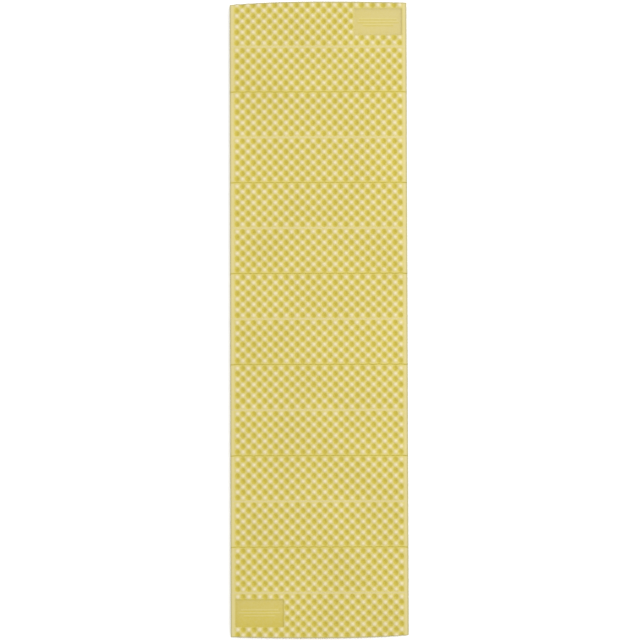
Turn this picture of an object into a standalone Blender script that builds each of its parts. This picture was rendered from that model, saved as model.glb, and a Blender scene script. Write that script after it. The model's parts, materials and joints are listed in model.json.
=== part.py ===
"""Accordion foam sleeping pad: fourteen egg-crate panels of one moulded closed-cell foam
sheet, joined by thirteen pressed living hinges.

X is the width, Y the length with panel_01 at +Y, Z up. The pad lies open and flat, and the
origin is at the centre of its underside. Every other crease is pressed from below, so its web
lies near the top and the two panels close top to top. The creases between are pressed from
above, so their webs lie near the underside and the panels close underside to underside.
The bumps of any two panels that can meet in the folded stack are exact opposites, so the
stack nests.
"""

import bmesh
import bpy
from mathutils import Matrix, Vector

# Driving dimensions, in metres
PAD_LENGTH = 1.830
PAD_WIDTH = 0.510
PAD_THICKNESS = 0.020
FOAM_THICKNESS = 0.010  # straight through the sheet, the same at bumps and at hollows
PANEL_COUNT = 14

# Egg-crate lattice: bumps and hollows take turns along each row and each column
ROWS = 8
OUTER_COLUMN = 15  # columns run from -15 to 15, and column 0 is the middle of the pad
COLUMN_PITCH = 0.01563
FIRST_ROW = 0.01075  # from the crease line, or from the free end
TIP_HALF = 0.0025  # half the side of the square flats on the middle column

# Creases
CREASE_HALF_GAP = 0.0030  # from the crease line to the end wall of a panel
WEB_GAP = 0.0003  # between a web and the end walls on its two sides
WEB_THICKNESS = 0.0016
WEB_WAIST = 0.0010  # thickness along the crease line, where the web bends
WEB_WAIST_HALF = 0.0012  # half the width of that thinned line
AXIS_OFFSET = 0.0002  # from the face that closes on its neighbour out to the folding axis

# Pressed flat areas for a label, on the two end panels
LABEL_ROWS = range(2, 7)  # counted from the +Y end of the panel
LABEL_COLUMNS = range(7, 16)
LABEL_LIFT = 0.0003  # above the level of the hollows, and as much under the pockets below

FOAM_COLOUR = (0.72, 0.60, 0.20, 1.0)
FOAM_ROUGHNESS = 0.62
PRESSED_COLOUR = (0.66, 0.53, 0.15, 1.0)
PRESSED_ROUGHNESS = 0.5

# Worked out from the dimensions above
PANEL_PITCH = PAD_LENGTH / PANEL_COUNT
ROW_PITCH = (PANEL_PITCH - 2 * FIRST_ROW) / (ROWS - 1)
WAVE = (PAD_THICKNESS - FOAM_THICKNESS) / 2  # height of a bump over the mean level
TOP_LEVEL = PAD_THICKNESS - WAVE  # mean level of the top
UNDER_LEVEL = WAVE  # mean level of the underside
RIM_X = (OUTER_COLUMN + 0.5) * COLUMN_PITCH  # where the flat side border starts
LABEL_TOP = TOP_LEVEL - WAVE + LABEL_LIFT
LABEL_UNDER = UNDER_LEVEL + WAVE - LABEL_LIFT


def remove_old_objects():
    for old in list(bpy.data.objects):
        bpy.data.objects.remove(old)


def foam_material(name, colour, roughness):
    material = bpy.data.materials.new(name)
    material.use_nodes = True
    shader = material.node_tree.nodes["Principled BSDF"]
    shader.inputs["Base Color"].default_value = colour
    shader.inputs["Roughness"].default_value = roughness
    shader.inputs["Metallic"].default_value = 0.0
    return material


def crease_y(crease):
    """Y of a crease line. Crease 0 is the +Y end of the pad, and the last one is its -Y end."""
    return PAD_LENGTH / 2 - crease * PANEL_PITCH


def web_is_on_top(crease):
    return crease % 2 == 1


def label_holds(panel, column, row):
    """True where a bump or hollow of an end panel is pressed flat for its label."""
    if panel == 1:
        return row in LABEL_ROWS and column in LABEL_COLUMNS
    if panel == PANEL_COUNT:
        return row in LABEL_ROWS and -column in LABEL_COLUMNS
    return False


def is_bump(column, row):
    return (column + row) % 2 == 0


def heights(panel, column, row):
    """Z of the top and of the underside at one bump or hollow."""
    wave = WAVE if is_bump(column, row) else -WAVE
    top = TOP_LEVEL + wave
    under = UNDER_LEVEL + wave
    if label_holds(panel, column, row):
        return LABEL_TOP, min(under, LABEL_UNDER)
    return top, under


def without_repeats(chain):
    return [p for n, p in enumerate(chain) if n == 0 or p is not chain[n - 1]]


class PanelMesh:
    """Builds one panel. A point is a pair of vertices, on the top and on the underside."""

    def __init__(self, panel):
        self.panel = panel
        self.bm = bmesh.new()
        self.points = {}
        self.add_points()

    def point(self, key, x, y, top=TOP_LEVEL, under=UNDER_LEVEL):
        self.points[key] = (
            self.bm.verts.new((x, y, top)),
            self.bm.verts.new((x, y, under)),
        )

    def add_points(self):
        high_end = crease_y(self.panel - 1)
        low_end = crease_y(self.panel)
        for row in range(1, ROWS + 1):
            y = high_end - FIRST_ROW - (row - 1) * ROW_PITCH
            for column in range(-OUTER_COLUMN, OUTER_COLUMN + 1):
                z = heights(self.panel, column, row)
                if column:
                    self.point((column, row), column * COLUMN_PITCH, y, *z)
                else:
                    self.add_tip(row, y, z)
            for side in (-1, 1):
                self.point(("rim", side, row), side * RIM_X, y)
        for end, y in ((0, high_end - CREASE_HALF_GAP), (ROWS + 1, low_end + CREASE_HALF_GAP)):
            self.add_end(end, y)

    def add_tip(self, row, y, z):
        """A bump or hollow on the middle column ends in a small square flat."""
        for side in (-1, 1):
            for way in (-1, 1):
                self.point((0, row, side, way), side * TIP_HALF, y + way * TIP_HALF, *z)

    def add_end(self, end, y):
        """The straight edge of the egg-crate field, with a point at every other column."""
        for column in range(1 - OUTER_COLUMN, OUTER_COLUMN, 2):
            if column:
                self.point((column, end), column * COLUMN_PITCH, y)
        for side in (-1, 1):
            self.point((0, end, side), side * TIP_HALF, y)
            self.point(("rim", side, end), side * RIM_X, y)
            self.point(("corner", side, end), side * PAD_WIDTH / 2, y)

    def cell_corner(self, column, row, side, way):
        """The point of a lattice node that a cell on its side (x) and way (y) uses."""
        if column:
            return self.points[(column, row)]
        return self.points[(0, row, side, way)]

    def face(self, *points):
        """A face of the top, and the same face turned over on the underside."""
        self.bm.faces.new([p[0] for p in points])
        self.bm.faces.new([p[1] for p in reversed(points)])

    def quad(self, corners, bump_first):
        """Four corners, anticlockwise from above, split on the diagonal that joins the first and
        third or the second and fourth. Odd panels fold along their bumps and even ones along
        their hollows, so faces that meet in the stack are parallel."""
        a, b, c, d = corners
        if bump_first == (self.panel % 2 == 1):
            self.face(a, b, c)
            self.face(a, c, d)
        else:
            self.face(a, b, d)
            self.face(b, c, d)

    def add_cells(self):
        for row in range(1, ROWS):
            for column in range(-OUTER_COLUMN, OUTER_COLUMN):
                self.quad(
                    (
                        self.cell_corner(column, row + 1, 1, 1),
                        self.cell_corner(column + 1, row + 1, -1, 1),
                        self.cell_corner(column + 1, row, -1, -1),
                        self.cell_corner(column, row, 1, -1),
                    ),
                    is_bump(column, row + 1),
                )

    def add_middle_column(self):
        for row in range(1, ROWS + 1):
            left_low, left_high, right_low, right_high = (
                self.points[(0, row, side, way)] for side in (-1, 1) for way in (-1, 1)
            )
            self.face(left_low, right_low, right_high, left_high)
            self.face(right_low, self.points[(1, row)], right_high)
            self.face(left_high, self.points[(-1, row)], left_low)
            if row < ROWS:
                next_left = self.points[(0, row + 1, -1, 1)]
                next_right = self.points[(0, row + 1, 1, 1)]
                self.face(next_left, next_right, right_low, left_low)

    def end_edge(self, end, side):
        """Points of one half of an end edge, from the middle column out to the rim."""
        chain = [self.points[(0, end, side)]]
        for column in range(2, OUTER_COLUMN, 2):
            chain.append(self.points[(side * column, end)])
        chain.append(self.points[("rim", side, end)])
        return chain

    def turned_face(self, turn, *points):
        """A face whose points run clockwise when turn is -1."""
        self.face(*(points if turn == 1 else reversed(points)))

    def add_end_strips(self):
        """Joins the rows next to the two ends to the end edges."""
        for end, row, way in ((0, 1, 1), (ROWS + 1, ROWS, -1)):
            middle = [self.points[(0, end, side)] for side in (1, -1)]
            tips = [self.points[(0, row, side, way)] for side in (-1, 1)]
            self.turned_face(way, *tips, *middle)
            for side in (-1, 1):
                turn = side * way
                edge = self.end_edge(end, side)
                for step in range(OUTER_COLUMN // 2):
                    inner = self.cell_corner(side * 2 * step, row, side, way)
                    odd = self.points[(side * (2 * step + 1), row)]
                    outer = self.points[(side * (2 * step + 2), row)]
                    self.turned_face(turn, inner, odd, edge[step])
                    self.turned_face(turn, edge[step], odd, edge[step + 1])
                    self.turned_face(turn, odd, outer, edge[step + 1])
                last = self.points[(side * OUTER_COLUMN, row)]
                beside = self.points[(side * (OUTER_COLUMN - 1), row)]
                self.turned_face(turn, beside, last, edge[-2])
                self.turned_face(turn, edge[-2], last, edge[-1])
                self.turned_face(turn, last, self.points[("rim", side, row)], edge[-1])

    def add_side_strips(self):
        """Joins the outer columns to the flat side borders."""
        for side in (-1, 1):
            for row in range(1, ROWS):
                outer = side * OUTER_COLUMN
                corners = (
                    self.points[(outer, row + 1)],
                    self.points[("rim", side, row + 1)],
                    self.points[("rim", side, row)],
                    self.points[(outer, row)],
                )
                bump_first = is_bump(outer, row + 1)
                if side == -1:
                    corners = tuple(reversed(corners))
                    bump_first = not bump_first
                self.quad(corners, bump_first)

    def add_borders(self):
        """The flat border along each side, as a fan from its two outer corners."""
        for side in (-1, 1):
            chain = [self.points[("rim", side, row)] for row in range(ROWS + 2)]
            outer = [self.points[("corner", side, end)] for end in (0, ROWS + 1)]
            for row in range(ROWS + 1):
                near = outer[0] if row <= ROWS // 2 else outer[1]
                self.turned_face(side, chain[row + 1], near, chain[row])
                if row == ROWS // 2:
                    self.turned_face(side, chain[row + 1], outer[1], outer[0])

    def wall(self, chain):
        """Joins the top and the underside along a chain of points that runs clockwise."""
        for first, second in zip(chain, chain[1:]):
            self.bm.faces.new((first[0], second[0], second[1], first[1]))

    def free_end(self, end, y):
        """A flat rim past the egg-crate field, out to the free end of the pad."""
        way = 1 if end == 0 else -1
        inner = self.outline(end)
        self.point(("free", -1), -PAD_WIDTH / 2, y)
        self.point(("free", 1), PAD_WIDTH / 2, y)
        left, right = self.points[("free", -1)], self.points[("free", 1)]
        half = len(inner) // 2
        for first, second in zip(inner[: half + 1], inner[1:]):
            self.turned_face(way, first, second, left)
        for first, second in zip(inner[half + 1 :], inner[half + 2 :]):
            self.turned_face(way, first, second, right)
        self.turned_face(way, inner[half + 1], right, left)
        return [left, right]

    def outline(self, end):
        """Every point along one end of the panel, from -X to +X."""
        left = [self.points[("corner", -1, end)], *reversed(self.end_edge(end, -1))]
        right = [*self.end_edge(end, 1), self.points[("corner", 1, end)]]
        return left + right

    def add_walls(self):
        high = self.outline(0)
        low = self.outline(ROWS + 1)
        high_corners, low_corners = [high[0], high[-1]], [low[0], low[-1]]
        if self.panel == 1:
            high = self.free_end(0, crease_y(0))
        if self.panel == PANEL_COUNT:
            low = self.free_end(ROWS + 1, crease_y(PANEL_COUNT))
        left = [low[0], low_corners[0], high_corners[0], high[0]]
        right = [high[-1], high_corners[1], low_corners[1], low[-1]]
        self.wall(without_repeats(left))
        self.wall(high)
        self.wall(without_repeats(right))
        self.wall(list(reversed(low)))

    def build(self):
        self.add_cells()
        self.add_middle_column()
        self.add_end_strips()
        self.add_side_strips()
        self.add_borders()
        self.add_walls()
        mesh = bpy.data.meshes.new(f"panel_{self.panel:02d}")
        self.bm.to_mesh(mesh)
        self.bm.free()
        return mesh


def web_mesh(crease):
    """A thin strip with a thinned line where it bends, extruded across the pad. Its origin is
    on the folding axis."""
    inward = -1 if web_is_on_top(crease) else 1
    half = CREASE_HALF_GAP - WEB_GAP
    face = inward * AXIS_OFFSET
    back = inward * (AXIS_OFFSET + WEB_THICKNESS)
    waist = inward * (AXIS_OFFSET + WEB_WAIST)
    profile = [
        (-half, face),
        (half, face),
        (half, back),
        (WEB_WAIST_HALF, waist),
        (-WEB_WAIST_HALF, waist),
        (-half, back),
    ]
    bm = bmesh.new()
    ring = [bm.verts.new((-PAD_WIDTH / 2, y, z)) for y, z in profile]
    start = bm.faces.new(ring)
    grown = bmesh.ops.extrude_face_region(bm, geom=[start])
    moved = [v for v in grown["geom"] if isinstance(v, bmesh.types.BMVert)]
    bmesh.ops.translate(bm, verts=moved, vec=(PAD_WIDTH, 0, 0))
    bmesh.ops.recalc_face_normals(bm, faces=bm.faces)
    mesh = bpy.data.meshes.new(f"hinge_web_{crease:02d}")
    bm.to_mesh(mesh)
    bm.free()
    return mesh


def axis_place(crease):
    """Where the folding axis of a crease crosses the middle of the pad. Crease 0 stands for the
    root panel, which turns on nothing."""
    if crease == 0:
        return Vector((0.0, 0.0, 0.0))
    if web_is_on_top(crease):
        return Vector((0.0, crease_y(crease), TOP_LEVEL + AXIS_OFFSET))
    return Vector((0.0, crease_y(crease), UNDER_LEVEL - AXIS_OFFSET))


def add_object(name, mesh, parent, place):
    made = bpy.data.objects.new(name, mesh)
    made.parent = parent
    made.location = place
    bpy.context.collection.objects.link(made)
    return made


def add_panel(panel, axis, foam):
    """A panel whose origin is on the axis that it turns on."""
    mesh = PanelMesh(panel).build()
    mesh.transform(Matrix.Translation(-axis_place(panel - 1)))
    mesh.materials.append(foam)
    add_object(mesh.name, mesh, axis, (0.0, 0.0, 0.0))


def main():
    remove_old_objects()
    axis = None
    for panel in range(1, PANEL_COUNT + 1):
        add_panel(panel, axis, foam_material(f"foam_{panel:02d}", FOAM_COLOUR, FOAM_ROUGHNESS))
        if panel == PANEL_COUNT:
            break
        step = axis_place(panel) - axis_place(panel - 1)
        web = web_mesh(panel)
        web.materials.append(foam_material(f"web_{panel:02d}", PRESSED_COLOUR, PRESSED_ROUGHNESS))
        add_object(web.name, web, axis, step)
        axis = add_object(f"crease_{panel:02d}_axis", None, axis, step)


main()
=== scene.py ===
"""Looks of the accordion foam sleeping pad.

Each panel is one closed sheet of egg-crate foam, laid out from its CAD node and the crease
axes, and each crease is a pressed strip.
"""

import json
import math

import bmesh
import bpy
import numpy as np
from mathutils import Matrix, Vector


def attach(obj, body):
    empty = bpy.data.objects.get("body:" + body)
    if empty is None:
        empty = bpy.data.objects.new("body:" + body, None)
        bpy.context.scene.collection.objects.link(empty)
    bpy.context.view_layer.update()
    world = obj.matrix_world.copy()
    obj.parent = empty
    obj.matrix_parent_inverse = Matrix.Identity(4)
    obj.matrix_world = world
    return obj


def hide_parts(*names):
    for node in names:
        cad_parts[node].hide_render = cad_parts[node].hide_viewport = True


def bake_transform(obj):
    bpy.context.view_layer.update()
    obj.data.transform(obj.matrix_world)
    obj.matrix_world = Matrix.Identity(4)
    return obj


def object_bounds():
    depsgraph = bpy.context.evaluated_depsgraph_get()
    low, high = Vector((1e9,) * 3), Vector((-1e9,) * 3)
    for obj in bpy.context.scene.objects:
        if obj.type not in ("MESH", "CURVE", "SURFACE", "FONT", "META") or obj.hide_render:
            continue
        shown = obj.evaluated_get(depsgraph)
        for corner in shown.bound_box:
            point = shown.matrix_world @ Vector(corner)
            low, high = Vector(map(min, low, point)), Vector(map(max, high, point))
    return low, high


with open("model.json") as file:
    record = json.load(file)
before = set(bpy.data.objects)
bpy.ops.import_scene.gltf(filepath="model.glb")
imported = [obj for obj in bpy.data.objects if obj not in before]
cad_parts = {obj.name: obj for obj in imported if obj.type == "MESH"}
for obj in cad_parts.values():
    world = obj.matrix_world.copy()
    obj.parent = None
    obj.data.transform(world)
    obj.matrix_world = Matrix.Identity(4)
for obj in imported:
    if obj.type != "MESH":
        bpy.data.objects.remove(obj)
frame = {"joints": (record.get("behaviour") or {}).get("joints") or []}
CAD_BOX = [list(corner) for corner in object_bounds()]

# The frame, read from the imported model, in metres
HALF_WIDTH = CAD_BOX[1][0]
HALF_LENGTH = CAD_BOX[1][1]
THICKNESS = CAD_BOX[1][2]
AXES = {j["name"]: j["pos_m"] for j in frame["joints"]}
CREASES = sorted(AXES)
PANEL_COUNT = len(CREASES) + 1
PITCH = 2 * HALF_LENGTH / PANEL_COUNT
MIDDLE = THICKNESS / 2

# Egg-crate sheet
FOAM = 0.010  # straight through the sheet
TOP = MIDDLE + FOAM / 2
UNDER = MIDDLE - FOAM / 2
WAVE = THICKNESS - TOP
ROWS = 8
OUTER_COLUMN = 15
COLUMN_PITCH = 0.01563
FIRST_ROW = 0.01075
ROW_PITCH = (PITCH - 2 * FIRST_ROW) / (ROWS - 1)
RIM_X = (OUTER_COLUMN + 0.5) * COLUMN_PITCH
BUMP_REACH = (0.0086, 0.0086)  # half the footprint of a bump, across and along
HOLLOW_REACH = (0.0091, 0.0108)  # hollows are wider than bumps, and longer than wide
BUMP_SHORT = (0.06, 0.12)  # a bump stops short of the hollow it nests in by this share
WANDER = 0.00012  # uneven placing of bumps and hollows
STEPS = 6  # mesh cells per lattice pitch
WALLS = 3  # rings of points down the edge of a panel

# Creases and edges
END_GAP = 0.0001  # from a crease line to the end of a panel
GROOVE_DEPTH = 0.0080
GROOVE_WALL = 0.0002  # where the wall of the groove ends and its rounded lip starts
GROOVE_LIP = 0.0026
LIP_DROP = 0.0008
SWAY = 0.0009  # how far a slit weaves between the bumps on its two sides
SWAY_REACH = 0.0026
# Painted shade: the darker tone along a slit stands in for the shade in its groove
SLIT_SHADE = -0.24
WEB_DIP = 0.0003  # a panel thins this much, over this reach, towards a web in its face
WEB_DIP_REACH = 0.0035
WEB_HALF = 0.0016
WEB_SIDE = 0.0004  # a web stops this far inside the side of the pad
WEB_STATIONS = (17, 121)  # mesh cuts across a web, and along it
WEB_SUNK = (0.00045, 0.00025, 0.0012)  # depth under the face, extra in the middle, its reach
WEB_THICK = (0.0020, -0.0006, 0.0014)
WEB_UNEVEN = 0.00035
FLAT_START = 0.0012  # the relief fades out beside a web that lies in the face
FLAT_FADE = 0.0026
RIM_CUTS = (0.0118, 0.0095, 0.0070, 0.0045, 0.0025, 0.0014, 0.0008, 0.00035, 0.0001, 0.0)
END_CUTS = (0.0, 0.00012, 0.0003, 0.00055, 0.0008, 0.0010, 0.0014, 0.0019, 0.0026, 0.0036)
EDGE_RADIUS = 0.0022
EDGE_SHADE_WIDTH = 0.0054  # width of the painted shade along a cut edge
EDGE_SHADE_FADE = 0.0034
EDGE_SHADE_SHARE = 0.78
BORDER_TONE = 0.17  # the flat side borders are a little paler
BORDER_FADE = 0.003
# Pale strip over a web on top, partly its stretched skin and partly painted highlight; a web in
# the underside is as much darker, painted shade
CREASE_TONE = 0.26
CREASE_WIDTH = 0.0024
TRIM_REACH = 0.0185  # how far in from a free end the mesh closes up towards the trimmed line
TRIM_CURVE = 2.2
CORNER_TRIM = {(1, -1): 0.0092, (1, 1): 0.0036, (14, -1): 0.0040, (14, 1): 0.0085}

# Pressed flat areas on the two end panels
LABEL_X = (0.1020, 0.2425)
LABEL_Y = {1: (0.0192, 0.0975), 14: (0.0182, 0.0975)}  # below the +Y line of the panel
LABEL_LEVEL = 0.0101
LABEL_UNDER = 0.0094  # the pockets in the underside stop short of the label
LABEL_WALL = 0.0028
# Painted light and shade: the walls and plate of the label on panel 14 are darker, the walls on
# panel 1 a little lighter, as the light falls
WALL_LIGHT_AND_SHADE = {1: 0.04, 14: -0.22}
LABEL_TONE = {1: 0.02, 14: -0.14}
LABEL_LIGHT_FALLOFF = {1: (0.03, 0.0), 14: (0.0, -0.05)}  # painted light falling off: change of tone to the right, and downwards
LABEL_SIDE = {1: 1, 14: -1}  # which side of the pad it lies on
BAR_HEIGHT = 0.0004
CHANNEL_DEPTH = 0.0003
BAR_TONE = {1: (0.04, 0.16), 14: (0.15, 0.04)}  # of a bar, and of the channel below it: painted highlight on the bars, painted shade in the channels
BAR_Y = {1: 0.0573, 14: 0.0575}
BAR_PITCH = 0.0085
BAR_HALF = 0.0022
BAR_FADE = (0.0030, 0.0014)  # how softly a bar ends, and how softly its long sides
BAR_CUTS = 15  # extra mesh cuts on each side of the middle bar, this far apart
BAR_CUT_PITCH = 0.0009
BARS = ((-1, 0.055), (0, 0.061), (1, 0.046))  # place, and half its length

# Foam: colour by tone, from the hollows to the bumps. The hollows are painted a deeper yellow and
# the bumps paler: painted shade and painted highlight over the foam's own yellow
FOAM_STOPS = (
    (0.05, (0.420, 0.340, 0.028)),
    (0.40, (0.450, 0.372, 0.052)),
    (0.50, (0.478, 0.408, 0.124)),
    (0.64, (0.510, 0.442, 0.210)),
    (0.88, (0.570, 0.504, 0.318)),
)
# Painted shade: the darker olive of cut edges and outer walls stands in for shade on the foam's
# sides
EDGE_SHADE_COLOUR = (0.290, 0.262, 0.130)
PRESSED_COLOUR = (0.950, 0.935, 1.030)  # what the label does to the colour of the foam
WHITE = (1.0, 1.0, 1.0)
BLUR_SCALE = 160  # fine unevenness of the tone
BLUR = 0.05
BROAD_SCALE = 7  # mottling over a hand's width
BROAD_STOPS = ((0.3, (0.955, 0.950, 0.930)), (0.7, WHITE))
CELL_SCALE = 850  # cells of the foam in its skin
CELL_STOPS = ((0.1, (0.93, 0.92, 0.88)), (0.6, WHITE))
CELL_SHARE = 0.6
SKIN_SCALE = 1400
SKIN_SHARE = 0.5
SKIN_STRENGTH = 0.45
SKIN_HEIGHT = 0.00022
ROUGH_SCALE = 45
ROUGHNESS = (0.50, 0.66)
SPECULAR = 0.35
SHEEN = 0.12
SHEEN_ROUGHNESS = 0.6

# Floor and light
FLOOR_REACH = 14.0
FLOOR_LEVEL = -0.0004
FLOOR_TONE = 0.96
FLOOR_ROUGHNESS = 0.9
FLOOR_SPECULAR = 0.1
WORLD_STRENGTH = 1.3
KEY_PLACE = (2.0, 0.75, 3.0)
KEY_TARGET = (0.0, 0.1, 0.0)
KEY_SIZE = 1.4
KEY_ENERGY = 50.0

# Camera: looks almost straight down from the -Y side, a little turned
LENS = 85.0
SENSOR = 36.0
VIEW_WIDTH = 1.8374
CAMERA_AIM = (0.0030, -0.0033)
CAMERA_TILT = 0.0172
CAMERA_ROLL = -0.0027


def smooth(t):
    t = np.clip(t, 0.0, 1.0)
    return t * t * (3 - 2 * t)


def crease_line(number):
    """Y of a crease line. Line 0 is the +Y end and the last one the -Y end."""
    return HALF_LENGTH - number * PITCH


def web_is_on_top(number):
    return number % 2 == 1


def dome(dx, dy, reach):
    """1 at the middle of a bump, falling smoothly to 0 at its edge."""
    r = np.sqrt((dx / reach[0]) ** 2 + (dy / reach[1]) ** 2)
    return 0.5 + 0.5 * np.cos(math.pi * np.minimum(r, 1.0))


def stations_x():
    """Where the mesh is cut across the pad: even over the bumps, closer at the two edges."""
    inner = np.arange(-OUTER_COLUMN * STEPS - STEPS // 2, OUTER_COLUMN * STEPS + STEPS // 2 + 1)
    inner = inner * COLUMN_PITCH / STEPS
    rim = np.array(RIM_CUTS)
    return np.concatenate([-HALF_WIDTH + rim[::-1], inner, HALF_WIDTH - rim])


def stations_y(panel):
    """Distances below the +Y line of a panel where the mesh is cut."""
    near = np.array(END_CUTS)
    first = near if panel == 1 else near + END_GAP
    last = near if panel == PANEL_COUNT else near + END_GAP
    start = first[-1]
    stop = PITCH - last[-1]
    count = int(round((stop - start) / (ROW_PITCH / STEPS)))
    inner = np.linspace(start, stop, count + 1)[1:-1]
    rows = [first, inner, PITCH - last[::-1]]
    if panel in (1, PANEL_COUNT):
        middle = sum(LABEL_Y[panel]) / 2
        rows.append(middle + np.arange(-BAR_CUTS, BAR_CUTS + 1) * BAR_CUT_PITCH)
    return np.unique(np.round(np.concatenate(rows), 6))


class Lattice:
    """Every bump and hollow of one panel, each a little different from the next."""

    def __init__(self, panel, seed):
        rng = np.random.default_rng(seed)
        self.panel = panel
        self.nodes = []
        for row in range(1, ROWS + 1):
            y = FIRST_ROW + (row - 1) * ROW_PITCH
            for column in range(-OUTER_COLUMN, OUTER_COLUMN + 1):
                bump = (column + row) % 2 == 0
                wander = rng.uniform(-WANDER, WANDER, 2)
                size = 1.0 - rng.uniform(*BUMP_SHORT)
                self.nodes.append((column * COLUMN_PITCH + wander[0], y + wander[1], bump, size))

    def pressed(self, cx, cy):
        """True for a bump or hollow that the label lies over."""
        if self.panel not in LABEL_SIDE:
            return False
        low, high = LABEL_Y[self.panel]
        return LABEL_X[0] < LABEL_SIDE[self.panel] * cx < LABEL_X[1] and low < cy < high

    def field(self, x, y, bumps, top):
        """The domes of the bumps, or of the hollows, from 0 to 1. A bump of one side is a
        hollow of the other, and it's the bumps of a side that are short and narrow."""
        raised = bumps == top
        reach = BUMP_REACH if raised else HOLLOW_REACH
        field = np.zeros(y.shape)
        for cx, cy, bump, size in self.nodes:
            if bump != bumps or (top and self.pressed(cx, cy)):
                continue
            i = np.nonzero(np.abs(x - cx) < reach[0])[0]
            j = np.nonzero(np.abs(y[:, i] - cy).min(axis=1) < reach[1])[0]
            if len(j):
                block = np.ix_(j, i)
                patch = dome(x[None, i] - cx, y[block] - cy, reach) * (size if raised else 1)
                field[block] = np.maximum(field[block], patch)
        return field

    def relief(self, x, y, top):
        """From -1 in the hollows of the top, or of the underside, to 1 on its bumps."""
        return self.field(x, y, top, top) - self.field(x, y, not top, top)


def groove_drop(distance):
    """How far the pressed side of a crease lies under the face, by distance from its line."""
    wall = np.clip((GROOVE_WALL - distance) / (GROOVE_WALL - END_GAP), 0, 1)
    lip = np.clip((GROOVE_LIP - distance) / (GROOVE_LIP - GROOVE_WALL), 0, 1)
    return LIP_DROP * lip**2 + (GROOVE_DEPTH - LIP_DROP) * wall**1.3


def web_drop(distance):
    return WEB_DIP * np.exp(-((distance / WEB_DIP_REACH) ** 2))


def edge_drop(distance):
    """The rounded arris of a cut edge."""
    d = np.clip(EDGE_RADIUS - distance, 0, EDGE_RADIUS)
    return EDGE_RADIUS - np.sqrt(np.maximum(EDGE_RADIUS**2 - d**2, 0))


# Painted shade along a cut edge, fading inwards
def painted_edge_shade(distance):
    return EDGE_SHADE_SHARE * smooth((EDGE_SHADE_WIDTH - distance) / EDGE_SHADE_FADE)


def label_mask(panel, x, y):
    """1 on the pressed flat of an end panel, 0 away from it."""
    side = LABEL_SIDE[panel]
    across = np.minimum(side * x - LABEL_X[0], LABEL_X[1] - side * x)
    along = np.minimum(y - LABEL_Y[panel][0], LABEL_Y[panel][1] - y)
    return smooth(across[None, :] / LABEL_WALL) * smooth(along[:, None] / LABEL_WALL)


def label_bars(panel, x, y):
    """Three plain bars where a real pad has its lettering: 1 on a bar, -1 in the shallow
    channel below it."""
    side = LABEL_SIDE[panel]
    middle_x = side * sum(LABEL_X) / 2
    field = np.zeros((len(y), len(x)))
    for place, half in BARS:
        across = smooth((half - np.abs(x - middle_x)) / BAR_FADE[0])[None, :]
        for shift, way in ((0.0, 1), (0.5, -1)):
            line = BAR_Y[panel] + (place + shift) * BAR_PITCH
            along = smooth((BAR_HALF - np.abs(y - line)) / BAR_FADE[1])[:, None]
            field += way * across * along
    return field


def trimmed_rows(panel, x, y):
    """How far each grid point lies below the +Y line of its panel, with the corners of a free
    end drawn back to the line they are cut along."""
    placed = np.repeat(y[:, None], len(x), axis=1)
    if panel not in (1, PANEL_COUNT):
        return placed
    trim = np.where(x < 0, CORNER_TRIM[panel, -1], CORNER_TRIM[panel, 1])
    pull = trim * (np.abs(x) / HALF_WIDTH) ** TRIM_CURVE
    from_end = y if panel == 1 else PITCH - y
    shift = pull[None, :] * smooth(1 - from_end / TRIM_REACH)[:, None]
    return placed + shift if panel == 1 else placed - shift


def label_tone(panel, x, y, bars):
    u = (x - LABEL_SIDE[panel] * sum(LABEL_X) / 2) / (LABEL_X[1] - LABEL_X[0]) * 2
    v = (y - sum(LABEL_Y[panel]) / 2) / (LABEL_Y[panel][1] - LABEL_Y[panel][0]) * 2
    right, down = LABEL_LIGHT_FALLOFF[panel]
    raised, sunk = BAR_TONE[panel]
    # Painted light falling off across the label
    tone = LABEL_TONE[panel] + right * u[None, :] + down * v[:, None]
    # Painted highlight on the bars and painted shade in the channels
    return tone + np.where(bars > 0, raised, sunk) * bars


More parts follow.
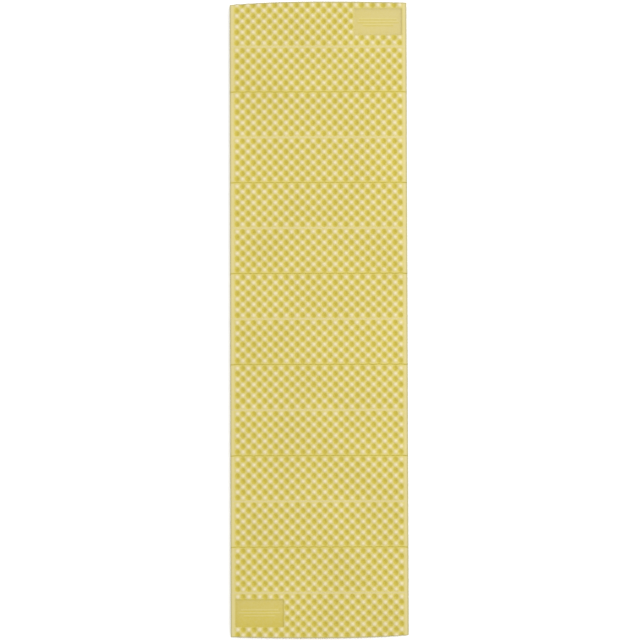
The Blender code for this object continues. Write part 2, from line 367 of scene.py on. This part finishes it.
def panel_surfaces(panel, x, y, placed):
    """Z of the top and underside of the mesh grid, the tone of each from -1 in the hollows to
    1 on the bumps (painted shade in the hollows, painted highlight on the bumps), how far each
    point takes the painted shade of a cut edge, and how far it is pressed."""
    lattice = Lattice(panel, 100 + panel)
    relief = lattice.relief(x, placed, True)
    hang = lattice.relief(x, placed, False)
    cut = np.zeros_like(relief)
    pressed = np.zeros_like(relief)
    drops = []
    for line, distance in ((panel - 1, y), (panel, PITCH - y)):
        if line in (0, PANEL_COUNT):
            drops.append((edge_drop(distance)[:, None], edge_drop(distance)[:, None]))
            # A free end takes painted shade along its cut edge
            cut = np.maximum(cut, painted_edge_shade(distance)[:, None])
            continue
        groove = groove_drop(distance)[:, None]
        web = web_drop(distance)[:, None]
        flat = smooth((distance - FLAT_START) / FLAT_FADE)[:, None]
        if web_is_on_top(line):
            relief = relief * flat
            drops.append((web, groove))
        else:
            hang = hang * flat
            drops.append((groove, web))
    # The tone from the relief is painted shade in the hollows and painted highlight on the bumps
    tone = relief + BORDER_TONE * smooth((np.abs(x) - RIM_X) / BORDER_FADE)[None, :]
    for line, distance in ((panel - 1, y), (panel, PITCH - y)):
        if line in (0, PANEL_COUNT):
            continue
        # Along a slit the tone is painted shade; over a web on top it is a pale strip, partly
        # stretched skin and partly painted highlight
        near = np.exp(-((distance / CREASE_WIDTH) ** 2))[:, None]
        tone = tone + ((CREASE_TONE if web_is_on_top(line) else SLIT_SHADE) - tone) * near
    top = TOP + WAVE * relief
    under = UNDER - WAVE * hang
    if panel in (1, PANEL_COUNT):
        mask = label_mask(panel, x, y)
        bars = label_bars(panel, x, y)
        plate = LABEL_LEVEL + np.where(bars > 0, BAR_HEIGHT, CHANNEL_DEPTH) * bars
        top = top * (1 - mask) + plate * mask
        under = np.minimum(under, THICKNESS * (1 - mask) + LABEL_UNDER * mask)
        # The label's tone carries painted light and shade: a level per panel, a fall-off across
        # it, walls lighter on panel 1 and darker on panel 14
        tone = tone * (1 - mask) + label_tone(panel, x, y, bars) * mask
        tone = tone + WALL_LIGHT_AND_SHADE[panel] * 4 * mask * (1 - mask)
        pressed = mask * (1 - np.maximum(bars, 0))
    for top_drop, under_rise in drops:
        top = top - top_drop
        under = under + under_rise
    side = edge_drop(HALF_WIDTH - np.abs(x))[None, :]
    # The two sides take painted shade along their cut edges
    cut = np.maximum(cut, painted_edge_shade(HALF_WIDTH - np.abs(x))[None, :])
    return top - side, under + side, tone, hang, cut, pressed


def place_grid(panel, x, y, placed):
    """World X and Y of the grid. A slit weaves between the bumps on its two sides."""
    gx = np.repeat(x[None, :], len(y), axis=0)
    gy = crease_line(panel - 1) - placed
    for line, distance in ((panel - 1, y), (panel, PITCH - y)):
        if 0 < line < PANEL_COUNT and not web_is_on_top(line):
            near = np.exp(-((distance / SWAY_REACH) ** 2))[:, None]
            gy = gy - SWAY * np.cos(math.pi * gx / COLUMN_PITCH) * near
    return gx, gy


def grid_faces(rows, columns, first, turned):
    a = np.arange(rows - 1)[:, None] * columns + np.arange(columns - 1)[None, :] + first
    quad = np.stack([a, a + columns, a + columns + 1, a + 1], -1).reshape(-1, 4)
    return quad[:, ::-1] if turned else quad


def outline(rows, columns):
    """Indices round the edge of a grid, clockwise from above."""
    top = np.arange(columns)
    right = np.arange(1, rows) * columns + columns - 1
    low = (rows - 1) * columns + np.arange(columns - 2, -1, -1)
    left = np.arange(rows - 2, 0, -1) * columns
    return np.concatenate([top, right, low, left])


def new_mesh(name, points, faces, attributes):
    mesh = bpy.data.meshes.new(name)
    mesh.from_pydata(points.tolist(), [], [tuple(f) for f in faces.tolist()])
    for key, values in attributes.items():
        layer = mesh.attributes.new(key, "FLOAT", "POINT")
        layer.data.foreach_set("value", values.astype(np.float32))
    mesh.shade_smooth()
    mesh.validate()
    made = bpy.data.objects.new(name, mesh)
    bpy.context.scene.collection.objects.link(made)
    return made


def make_panel(panel, material):
    x = stations_x()
    y = stations_y(panel)
    placed = trimmed_rows(panel, x, y)
    top, under, tone, under_tone, cut, pressed = panel_surfaces(panel, x, y, placed)
    gx, gy = place_grid(panel, x, y, placed)
    rows, columns = gx.shape
    count = rows * columns
    upper = np.stack([gx, gy, top], -1).reshape(-1, 3)
    lower = np.stack([gx, gy, under], -1).reshape(-1, 3)
    ring = outline(rows, columns)
    shares = np.arange(1, WALLS + 1)[:, None, None] / (WALLS + 1)
    between = upper[ring] + (lower[ring] - upper[ring]) * shares
    points = np.concatenate([upper, lower, between.reshape(-1, 3)])
    loops = [ring]
    loops += [2 * count + k * len(ring) + np.arange(len(ring)) for k in range(WALLS)]
    loops.append(ring + count)
    faces = [grid_faces(rows, columns, 0, False), grid_faces(rows, columns, count, True)]
    for a, b in zip(loops, loops[1:]):
        faces.append(np.stack([a, np.roll(a, -1), np.roll(b, -1), b], -1))
    # Walls get a darker tone, painted shade, the most where a panel ends at a crease; the outer
    # walls take the painted edge shade in full
    outside = np.tile(cut.reshape(-1)[ring] > 0.5, WALLS)
    values = {
        "wave": np.concatenate([tone.reshape(-1), under_tone.reshape(-1), 0.2 * outside - 0.4]),
        "cut": np.concatenate([cut.reshape(-1), cut.reshape(-1), outside]),
        "pressed": np.concatenate([pressed.reshape(-1), np.zeros(len(points) - count)]),
    }
    made = new_mesh(f"foam_panel_{panel:02d}", points, np.concatenate(faces), values)
    made.data.materials.append(material)
    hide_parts(f"panel_{panel:02d}")
    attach(made, f"section_{panel:02d}")


def swell(distance, shape):
    """A depth that changes by a smooth hump in the middle."""
    even, extra, reach = shape
    return even + extra * np.exp(-((distance / reach) ** 2))


def make_web(number, material):
    """A pressed strip across a crease, between the two panels it joins."""
    axis_y = AXES[f"crease_{number:02d}"][1]
    turn = 1 if web_is_on_top(number) else -1
    face = TOP if web_is_on_top(number) else UNDER
    across = np.linspace(-WEB_HALF, WEB_HALF, WEB_STATIONS[0])
    along = np.linspace(-HALF_WIDTH + WEB_SIDE, HALF_WIDTH - WEB_SIDE, WEB_STATIONS[1])
    outer = face - turn * swell(across, WEB_SUNK)
    inner = outer - turn * swell(across, WEB_THICK)
    size = 2 * len(across)
    rng = np.random.default_rng(300 + number)
    window = np.ones(9) / 9
    uneven = np.convolve(rng.normal(0, WEB_UNEVEN, len(along) + len(window) - 1), window, "valid")
    points = np.empty((len(along), size, 3))
    points[:, :, 0] = along[:, None]
    points[:, :, 1] = axis_y + np.concatenate([across, across[::-1]])
    points[:, :, 2] = np.concatenate([outer, inner[::-1]]) - turn * np.abs(uneven)[:, None]
    points = points.reshape(-1, 3)
    start = np.arange(len(along) - 1)[:, None] * size
    a = start + np.arange(size)
    b = start + (np.arange(size) + 1) % size
    faces = np.stack([a, b, b + size, a + size], -1).reshape(-1, 4)
    # A web on top is paler, partly stretched skin and partly painted highlight; a web in the
    # underside is darker, painted shade
    values = {
        "wave": np.full(len(points), CREASE_TONE * turn),
        "cut": np.zeros(len(points)),
        "pressed": np.zeros(len(points)),
    }
    made = new_mesh(f"hinge_strip_{number:02d}", points, faces, values)
    cap_ends(made.data, size, len(along))
    made.data.materials.append(material)
    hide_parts(f"hinge_web_{number:02d}")
    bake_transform(made)


def cap_ends(mesh, size, count):
    """Closes the two ends of a strip, and turns all its faces outwards."""
    bm = bmesh.new()
    bm.from_mesh(mesh)
    bm.verts.ensure_lookup_table()
    for first in (0, (count - 1) * size):
        bm.faces.new([bm.verts[first + k] for k in range(size)])
    bmesh.ops.recalc_face_normals(bm, faces=bm.faces)
    bm.to_mesh(mesh)
    bm.free()


def node(tree, kind, **settings):
    made = tree.nodes.new(kind)
    for key, value in settings.items():
        setattr(made, key, value)
    return made


def attribute(tree, name):
    return node(tree, "ShaderNodeAttribute", attribute_name=name)


def noise(tree, scale, detail, where):
    made = node(tree, "ShaderNodeTexNoise")
    made.inputs["Scale"].default_value = scale
    made.inputs["Detail"].default_value = detail
    tree.links.new(where, made.inputs["Vector"])
    return made


def ramp(tree, source, stops):
    made = node(tree, "ShaderNodeValToRGB")
    band = made.color_ramp
    while len(band.elements) < len(stops):
        band.elements.new(0.5)
    for element, (place, colour) in zip(band.elements, stops):
        element.position = place
        element.color = (*colour, 1.0)
    tree.links.new(source, made.inputs["Fac"])
    return made


def remap(tree, source, low, high, to_low, to_high):
    made = node(tree, "ShaderNodeMapRange")
    for key, value in (
        ("From Min", low), ("From Max", high), ("To Min", to_low), ("To Max", to_high)
    ):
        made.inputs[key].default_value = value
    tree.links.new(source, made.inputs["Value"])
    return made.outputs["Result"]


def mix(tree, kind, factor, a, b):
    made = node(tree, "ShaderNodeMix", data_type="RGBA", blend_type=kind)
    for value, socket in ((factor, "Factor"), (a, "A"), (b, "B")):
        target = [s for s in made.inputs if s.name == socket and s.enabled][0]
        if hasattr(value, "node"):
            tree.links.new(value, target)
        elif socket == "Factor":
            target.default_value = value
        else:
            target.default_value = (*value, 1.0)
    return [s for s in made.outputs if s.enabled][0]


def foam_colour(tree, place, cells):
    """Colour follows the tone, which carries painted shade in the hollows and painted highlight
    on the bumps, with mottling, foam cells, pressed areas and painted shade along cut edges.
    """
    tone = remap(tree, attribute(tree, "wave").outputs["Fac"], -1, 1, 0, 1)
    blur = noise(tree, BLUR_SCALE, 3, place)
    add = node(tree, "ShaderNodeMath", operation="ADD")
    tree.links.new(tone, add.inputs[0])
    tree.links.new(remap(tree, blur.outputs["Fac"], 0, 1, -BLUR, BLUR), add.inputs[1])
    colour = ramp(tree, add.outputs[0], FOAM_STOPS).outputs["Color"]
    broad = noise(tree, BROAD_SCALE, 4, place)
    mottle = ramp(tree, broad.outputs["Fac"], BROAD_STOPS)
    colour = mix(tree, "MULTIPLY", 1.0, colour, mottle.outputs["Color"])
    speck = ramp(tree, cells.outputs["Distance"], CELL_STOPS)
    colour = mix(tree, "MULTIPLY", CELL_SHARE, colour, speck.outputs["Color"])
    pressed = attribute(tree, "pressed").outputs["Fac"]
    colour = mix(tree, "MULTIPLY", pressed, colour, PRESSED_COLOUR)
    # Painted shade along cut edges and on the outer walls
    cut = attribute(tree, "cut").outputs["Fac"]
    return mix(tree, "MIX", cut, colour, EDGE_SHADE_COLOUR)


def foam_material(name):
    """Closed-cell foam with a fine, matt, slightly uneven skin."""
    material = bpy.data.materials.new(name)
    material.use_nodes = True
    tree = material.node_tree
    shader = tree.nodes["Principled BSDF"]
    place = node(tree, "ShaderNodeTexCoord").outputs["Object"]
    cells = node(tree, "ShaderNodeTexVoronoi", feature="F1")
    cells.inputs["Scale"].default_value = CELL_SCALE
    tree.links.new(place, cells.inputs["Vector"])
    tree.links.new(foam_colour(tree, place, cells), shader.inputs["Base Color"])
    rough = noise(tree, ROUGH_SCALE, 3, place)
    uneven = remap(tree, rough.outputs["Fac"], 0.3, 0.7, *ROUGHNESS)
    tree.links.new(uneven, shader.inputs["Roughness"])
    skin = noise(tree, SKIN_SCALE, 2, place)
    height = node(tree, "ShaderNodeMath", operation="ADD")
    tree.links.new(cells.outputs["Distance"], height.inputs[0])
    tree.links.new(remap(tree, skin.outputs["Fac"], 0, 1, 0, SKIN_SHARE), height.inputs[1])
    bump = node(tree, "ShaderNodeBump")
    bump.inputs["Strength"].default_value = SKIN_STRENGTH
    bump.inputs["Distance"].default_value = SKIN_HEIGHT
    tree.links.new(height.outputs[0], bump.inputs["Height"])
    tree.links.new(bump.outputs["Normal"], shader.inputs["Normal"])
    shader.inputs["Specular IOR Level"].default_value = SPECULAR
    shader.inputs["Sheen Weight"].default_value = SHEEN
    shader.inputs["Sheen Roughness"].default_value = SHEEN_ROUGHNESS
    return material


def make_floor():
    mesh = bpy.data.meshes.new("floor")
    corners = ((-1, -1), (1, -1), (1, 1), (-1, 1))
    points = [(FLOOR_REACH * x, FLOOR_REACH * y, FLOOR_LEVEL) for x, y in corners]
    mesh.from_pydata(points, [], [(0, 1, 2, 3)])
    floor = bpy.data.objects.new("floor", mesh)
    bpy.context.scene.collection.objects.link(floor)
    material = bpy.data.materials.new("pale_floor")
    material.use_nodes = True
    shader = material.node_tree.nodes["Principled BSDF"]
    shader.inputs["Base Color"].default_value = (FLOOR_TONE, FLOOR_TONE, FLOOR_TONE, 1.0)
    shader.inputs["Roughness"].default_value = FLOOR_ROUGHNESS
    shader.inputs["Specular IOR Level"].default_value = FLOOR_SPECULAR
    mesh.materials.append(material)


def make_lights():
    world = bpy.data.worlds.new("studio")
    world.use_nodes = True
    back = world.node_tree.nodes["Background"]
    back.inputs["Color"].default_value = (*WHITE, 1.0)
    back.inputs["Strength"].default_value = WORLD_STRENGTH
    bpy.context.scene.world = world
    data = bpy.data.lights.new("key", "AREA")
    data.shape = "DISK"
    data.size = KEY_SIZE
    data.energy = KEY_ENERGY
    lamp = bpy.data.objects.new("key", data)
    lamp.location = KEY_PLACE
    way = Vector(KEY_TARGET) - Vector(KEY_PLACE)
    lamp.rotation_euler = way.to_track_quat("-Z", "Y").to_euler()
    bpy.context.scene.collection.objects.link(lamp)


def make_camera():
    reach = VIEW_WIDTH * LENS / SENSOR
    data = bpy.data.cameras.new("camera")
    data.lens = LENS
    data.sensor_width = SENSOR
    data.clip_end = 50
    camera = bpy.data.objects.new("camera", data)
    aim_x, aim_y = CAMERA_AIM
    back = aim_y - reach * math.sin(CAMERA_TILT)
    camera.location = (aim_x, back, TOP + reach * math.cos(CAMERA_TILT))
    camera.rotation_euler = (CAMERA_TILT, 0, CAMERA_ROLL)
    bpy.context.scene.collection.objects.link(camera)
    bpy.context.scene.camera = camera


def main():
    foam = foam_material("yellow_foam")
    for panel in range(1, PANEL_COUNT + 1):
        make_panel(panel, foam)
    for number in range(1, PANEL_COUNT):
        make_web(number, foam)
    make_floor()
    make_lights()
    make_camera()
    bpy.context.scene.view_settings.view_transform = "Standard"


main()
